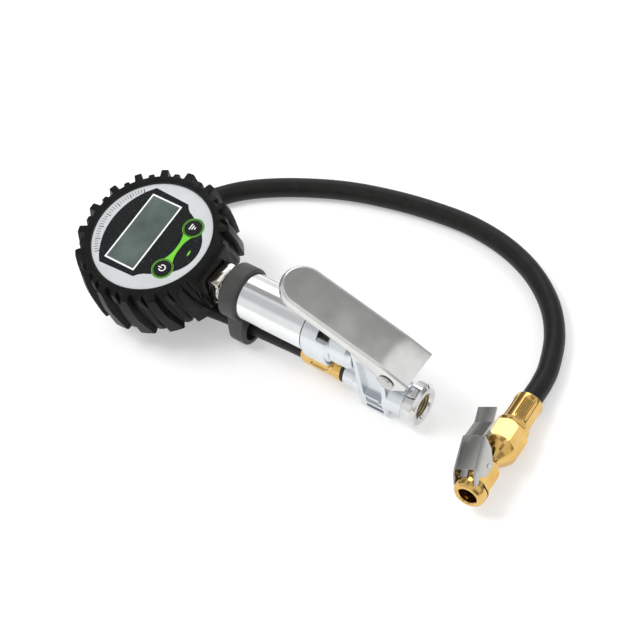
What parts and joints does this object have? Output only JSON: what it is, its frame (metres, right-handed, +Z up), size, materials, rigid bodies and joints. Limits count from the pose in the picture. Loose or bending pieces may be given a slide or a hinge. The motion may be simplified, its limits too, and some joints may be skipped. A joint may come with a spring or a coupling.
{
  "type": "tire pressure gauge",
  "caption": "Hand-held digital tyre inflator: gauge head in a rubber boot, chrome handle with trigger lever and air inlet, hose with a clip-on valve chuck.",
  "frame": {"origin": "on the table under the middle of the tool's box (head, handle, valve block and lever; the hose and chuck not counted)", "axes": "+X along the handle from the gauge to the air inlet, +Z up, on the side of the lever and the gauge's face, +Y across the handle towards the free loop of the hose"},
  "size_m": [0.2478, 0.1576, 0.0675],
  "materials": {
    "chrome": "mirror plated",
    "satin_casting": "satin plated casting",
    "steel": "satin",
    "nickel": "nickel plated",
    "brass": "bright turned",
    "rubber": "matte",
    "clip_grey": "satin",
    "black_plastic": "satin",
    "face_silver": "silver paint",
    "panel_black": "satin gloss",
    "lcd": "grey-green display",
    "clear": "clear",
    "board": "solder mask",
    "cell": "printed sleeve",
    "tape": "sealing tape",
    "seal": "matte"
  },
  "bodies": {
    "handle": {"battery_1": "cell", "battery_2": "cell", "battery_cover": "black_plastic", "bush_seal": "seal", "case_screw_1": "steel", "case_screw_2": "steel", "case_screw_3": "steel", "chuck_body": "brass", "chuck_depressor": "brass", "chuck_nut": "brass", "chuck_pin": "steel", "chuck_seal": "seal", "chuck_spring": "steel", "circuit_board": "board", "display_window": "clear", "face_panel": "panel_black", "face_plate": "face_silver", "far_ferrule": "brass", "func_switch": "steel", "gauge_case": "black_plastic", "handle_tube": "chrome", "hose": "rubber", "hose_clip": "clip_grey", "lcd_display": "lcd", "near_ferrule": "brass", "on_switch": "steel", "pivot_pin": "steel", "port_washer": "seal", "pressure_sensor": "steel", "rubber_boot": "rubber", "stem_fitting": "nickel", "thread_tape": "tape", "valve_block": "satin_casting", "valve_bush": "brass", "valve_plug": "brass", "valve_spring": "steel"},
    "lever": {"trigger_lever": "chrome"},
    "plunger": {"valve_plunger": "steel"},
    "on_key": {"on_button": "black_plastic"},
    "func_key": {"func_button": "black_plastic"},
    "chuck_lever": {"chuck_clip": "steel"}
  },
  "joints": [
    {"name": "lever_squeeze", "type": "hinge", "parent": "handle", "child": "lever", "pos_m": [0.0865, 0.0001, 0.0368], "axis": [0, -1, 0], "range_deg": [0, 14], "stiffness_Nm_per_rad": 1, "springref_deg": -14.32},
    {"name": "plunger_slide", "type": "slide", "parent": "handle", "child": "plunger", "axis": [0, 0, -1], "range_m": [0, 0.0042], "deforming": ["valve_spring"]},
    {"name": "on_press", "type": "slide", "parent": "handle", "child": "on_key", "axis": [0, 0.1426, -0.9898], "range_m": [0, 0.0007], "stiffness_N_per_m": 600, "springref_m": -0.0005},
    {"name": "func_press", "type": "slide", "parent": "handle", "child": "func_key", "axis": [0, 0.1426, -0.9898], "range_m": [0, 0.0007], "stiffness_N_per_m": 600, "springref_m": -0.0005},
    {"name": "chuck_clip_press", "type": "hinge", "parent": "handle", "child": "chuck_lever", "pos_m": [0.13855, -0.01791, 0.01699], "axis": [-0.8608, -0.108, -0.4973], "range_deg": [0, 15], "stiffness_Nm_per_rad": 0.15, "springref_deg": -14.32, "deforming": ["chuck_spring"]}
  ],
  "couplings": [
    {"joint": "plunger_slide", "follows": "lever_squeeze", "m_per_rad": 0.0159}
  ]
}
